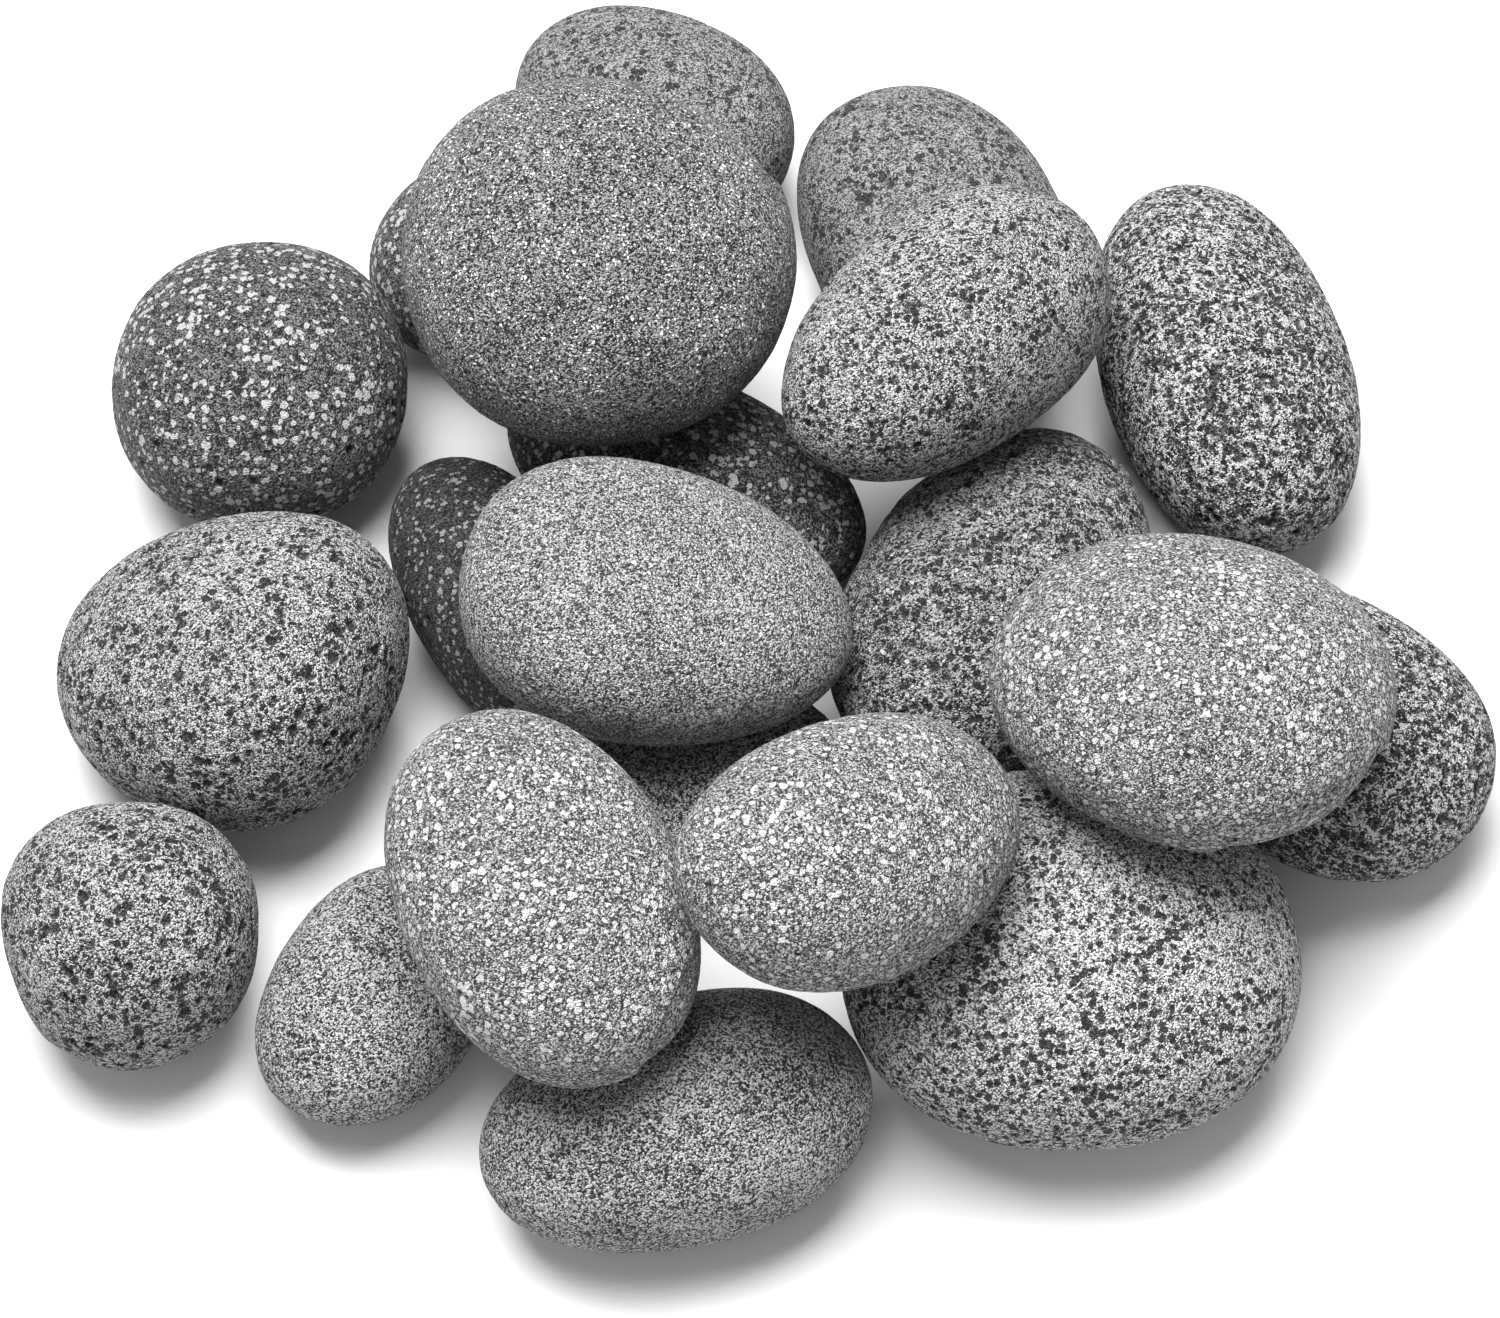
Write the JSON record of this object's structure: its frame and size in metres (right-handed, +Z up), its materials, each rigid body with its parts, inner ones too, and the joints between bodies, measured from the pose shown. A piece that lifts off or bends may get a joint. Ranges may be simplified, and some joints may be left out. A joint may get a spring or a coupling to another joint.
{
  "type": "basalt massage stone set",
  "caption": "Loose pile of smooth tumbled basalt massage stones, egg and pebble shaped, each one a separate stone that lifts or draws off the pile.",
  "frame": {"origin": "on the surface the pile lies on, below the middle of its outer box", "axes": "+Z up; +X to the right and +Y to the back of the pile as it is looked at from the front"},
  "size_m": [0.3196, 0.3226, 0.0991],
  "materials": {
    "pale_basalt": "matte, fine-grained light grey with round pale grains",
    "grey_basalt": "matte mid grey, pitted with open pores of 1 to 2 mm",
    "dark_basalt": "matte coarse dark grey with scattered white grains"
  },
  "bodies": {
    "resting_core": {"core_right_stone": "grey_basalt", "core_rear_stone": "dark_basalt", "core_front_stone": "grey_basalt", "core_left_stone": "dark_basalt"},
    "rear_corner_stone": {"rear_corner_stone": "dark_basalt"},
    "left_rear_stone": {"left_rear_stone": "dark_basalt"},
    "left_stone": {"left_stone": "grey_basalt"},
    "front_left_stone": {"front_left_stone": "grey_basalt"},
    "front_left_inner_stone": {"front_left_inner_stone": "dark_basalt"},
    "front_right_stone": {"front_right_stone": "grey_basalt"},
    "front_stone": {"front_stone": "grey_basalt"},
    "right_stone": {"right_stone": "dark_basalt"},
    "right_rear_stone": {"right_rear_stone": "dark_basalt"},
    "rear_right_stone": {"rear_right_stone": "pale_basalt"},
    "rear_left_stone": {"rear_left_stone": "pale_basalt"},
    "top_centre_stone": {"top_centre_stone": "pale_basalt"},
    "top_rear_left_stone": {"top_rear_left_stone": "grey_basalt"},
    "top_rear_right_stone": {"top_rear_right_stone": "grey_basalt"},
    "top_right_stone": {"top_right_stone": "pale_basalt"},
    "top_front_left_stone": {"top_front_left_stone": "pale_basalt"},
    "top_front_stone": {"top_front_stone": "pale_basalt"}
  },
  "joints": [
    {"name": "rear_corner_draw", "type": "slide", "parent": "resting_core", "child": "rear_corner_stone", "axis": [-0.6157, 0.788, 0], "range_m": [0, 0.09]},
    {"name": "left_rear_draw", "type": "slide", "parent": "resting_core", "child": "left_rear_stone", "axis": [-0.9136, 0.4067, 0], "range_m": [0, 0.09]},
    {"name": "left_draw", "type": "slide", "parent": "resting_core", "child": "left_stone", "axis": [-0.8325, 0.2387, 0.5], "range_m": [0, 0.09]},
    {"name": "front_left_draw", "type": "slide", "parent": "resting_core", "child": "front_left_stone", "axis": [-0.8192, -0.5736, 0], "range_m": [0, 0.09]},
    {"name": "front_left_inner_draw", "type": "slide", "parent": "resting_core", "child": "front_left_inner_stone", "axis": [-0.3907, -0.9205, 0], "range_m": [0, 0.09]},
    {"name": "front_right_draw", "type": "slide", "parent": "resting_core", "child": "front_right_stone", "axis": [0.5592, -0.829, 0], "range_m": [0, 0.09]},
    {"name": "front_draw", "type": "slide", "parent": "resting_core", "child": "front_stone", "axis": [-0.1219, -0.9925, 0], "range_m": [0, 0.09]},
    {"name": "right_draw", "type": "slide", "parent": "resting_core", "child": "right_stone", "axis": [0.9511, -0.309, 0], "range_m": [0, 0.09]},
    {"name": "right_rear_draw", "type": "slide", "parent": "resting_core", "child": "right_rear_stone", "axis": [0.8829, 0.4695, 0], "range_m": [0, 0.09]},
    {"name": "rear_right_draw", "type": "slide", "parent": "resting_core", "child": "rear_right_stone", "axis": [0.3256, 0.9455, 0], "range_m": [0, 0.09]},
    {"name": "rear_left_draw", "type": "slide", "parent": "resting_core", "child": "rear_left_stone", "axis": [-0.1908, 0.9816, 0], "range_m": [0, 0.09]},
    {"name": "top_centre_lift", "type": "slide", "parent": "resting_core", "child": "top_centre_stone", "axis": [0, 0, 1], "range_m": [0, 0.09]},
    {"name": "top_rear_left_lift", "type": "slide", "parent": "resting_core", "child": "top_rear_left_stone", "axis": [0, 0, 1], "range_m": [0, 0.09]},
    {"name": "top_rear_right_lift", "type": "slide", "parent": "resting_core", "child": "top_rear_right_stone", "axis": [0, 0, 1], "range_m": [0, 0.09]},
    {"name": "top_right_lift", "type": "slide", "parent": "resting_core", "child": "top_right_stone", "axis": [0, 0, 1], "range_m": [0, 0.09]},
    {"name": "top_front_left_lift", "type": "slide", "parent": "resting_core", "child": "top_front_left_stone", "axis": [-0.3993, -0.3009, 0.866], "range_m": [0, 0.09]},
    {"name": "top_front_lift", "type": "slide", "parent": "resting_core", "child": "top_front_stone", "axis": [0, 0, 1], "range_m": [0, 0.09]}
  ]
}
